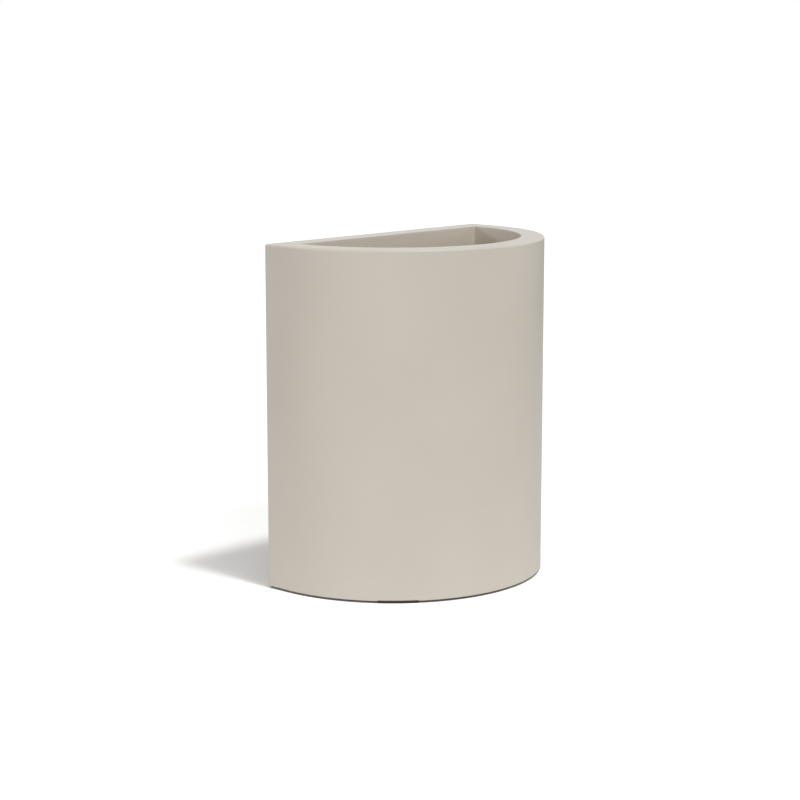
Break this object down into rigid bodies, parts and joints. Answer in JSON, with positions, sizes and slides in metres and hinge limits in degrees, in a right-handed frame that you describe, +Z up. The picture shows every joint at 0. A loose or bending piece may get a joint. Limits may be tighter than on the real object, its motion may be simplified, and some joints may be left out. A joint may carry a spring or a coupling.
{
  "type": "half-cylinder planter",
  "caption": "Half-cylinder floor planter with a flat back, broad flat rim, raised drained floor with pull-out bungs, and let-in rubber foot pads.",
  "frame": {"origin": "centre of the footprint's bounding rectangle, on the ground under the foot pads", "axes": "+Z up, +Y toward the flat back, -Y toward the middle of the curved front, +X to the right seen from the front"},
  "size_m": [0.45, 0.265, 0.503],
  "materials": {
    "coat": "fine matt powder coat, warm beige",
    "pad_rubber": "matt black rubber",
    "plug_rubber": "matt dark grey rubber",
    "rivet": "plain drawn aluminium"
  },
  "bodies": {
    "planter": {"front_shell": "coat", "back_panel": "coat", "rim_plate": "coat", "rim_return_front": "coat", "rim_return_back": "coat", "floor_ledge_front": "coat", "floor_ledge_back": "coat", "floor_plate": "coat", "foot_ring": "coat", "foot_pad_front_left": "pad_rubber", "foot_pad_front_right": "pad_rubber", "foot_pad_back_left": "pad_rubber", "foot_pad_back_right": "pad_rubber", "foot_rivets": "rivet"},
    "drain_plug_left": {"drain_plug_left": "plug_rubber"},
    "drain_plug_middle": {"drain_plug_middle": "plug_rubber"},
    "drain_plug_right": {"drain_plug_right": "plug_rubber"}
  },
  "joints": [
    {"name": "drain_plug_left_pull", "type": "slide", "parent": "planter", "child": "drain_plug_left", "axis": [0, 0, 1], "range_m": [0, 0.48]},
    {"name": "drain_plug_middle_pull", "type": "slide", "parent": "planter", "child": "drain_plug_middle", "axis": [0, 0, 1], "range_m": [0, 0.48]},
    {"name": "drain_plug_right_pull", "type": "slide", "parent": "planter", "child": "drain_plug_right", "axis": [0, 0, 1], "range_m": [0, 0.48]}
  ]
}
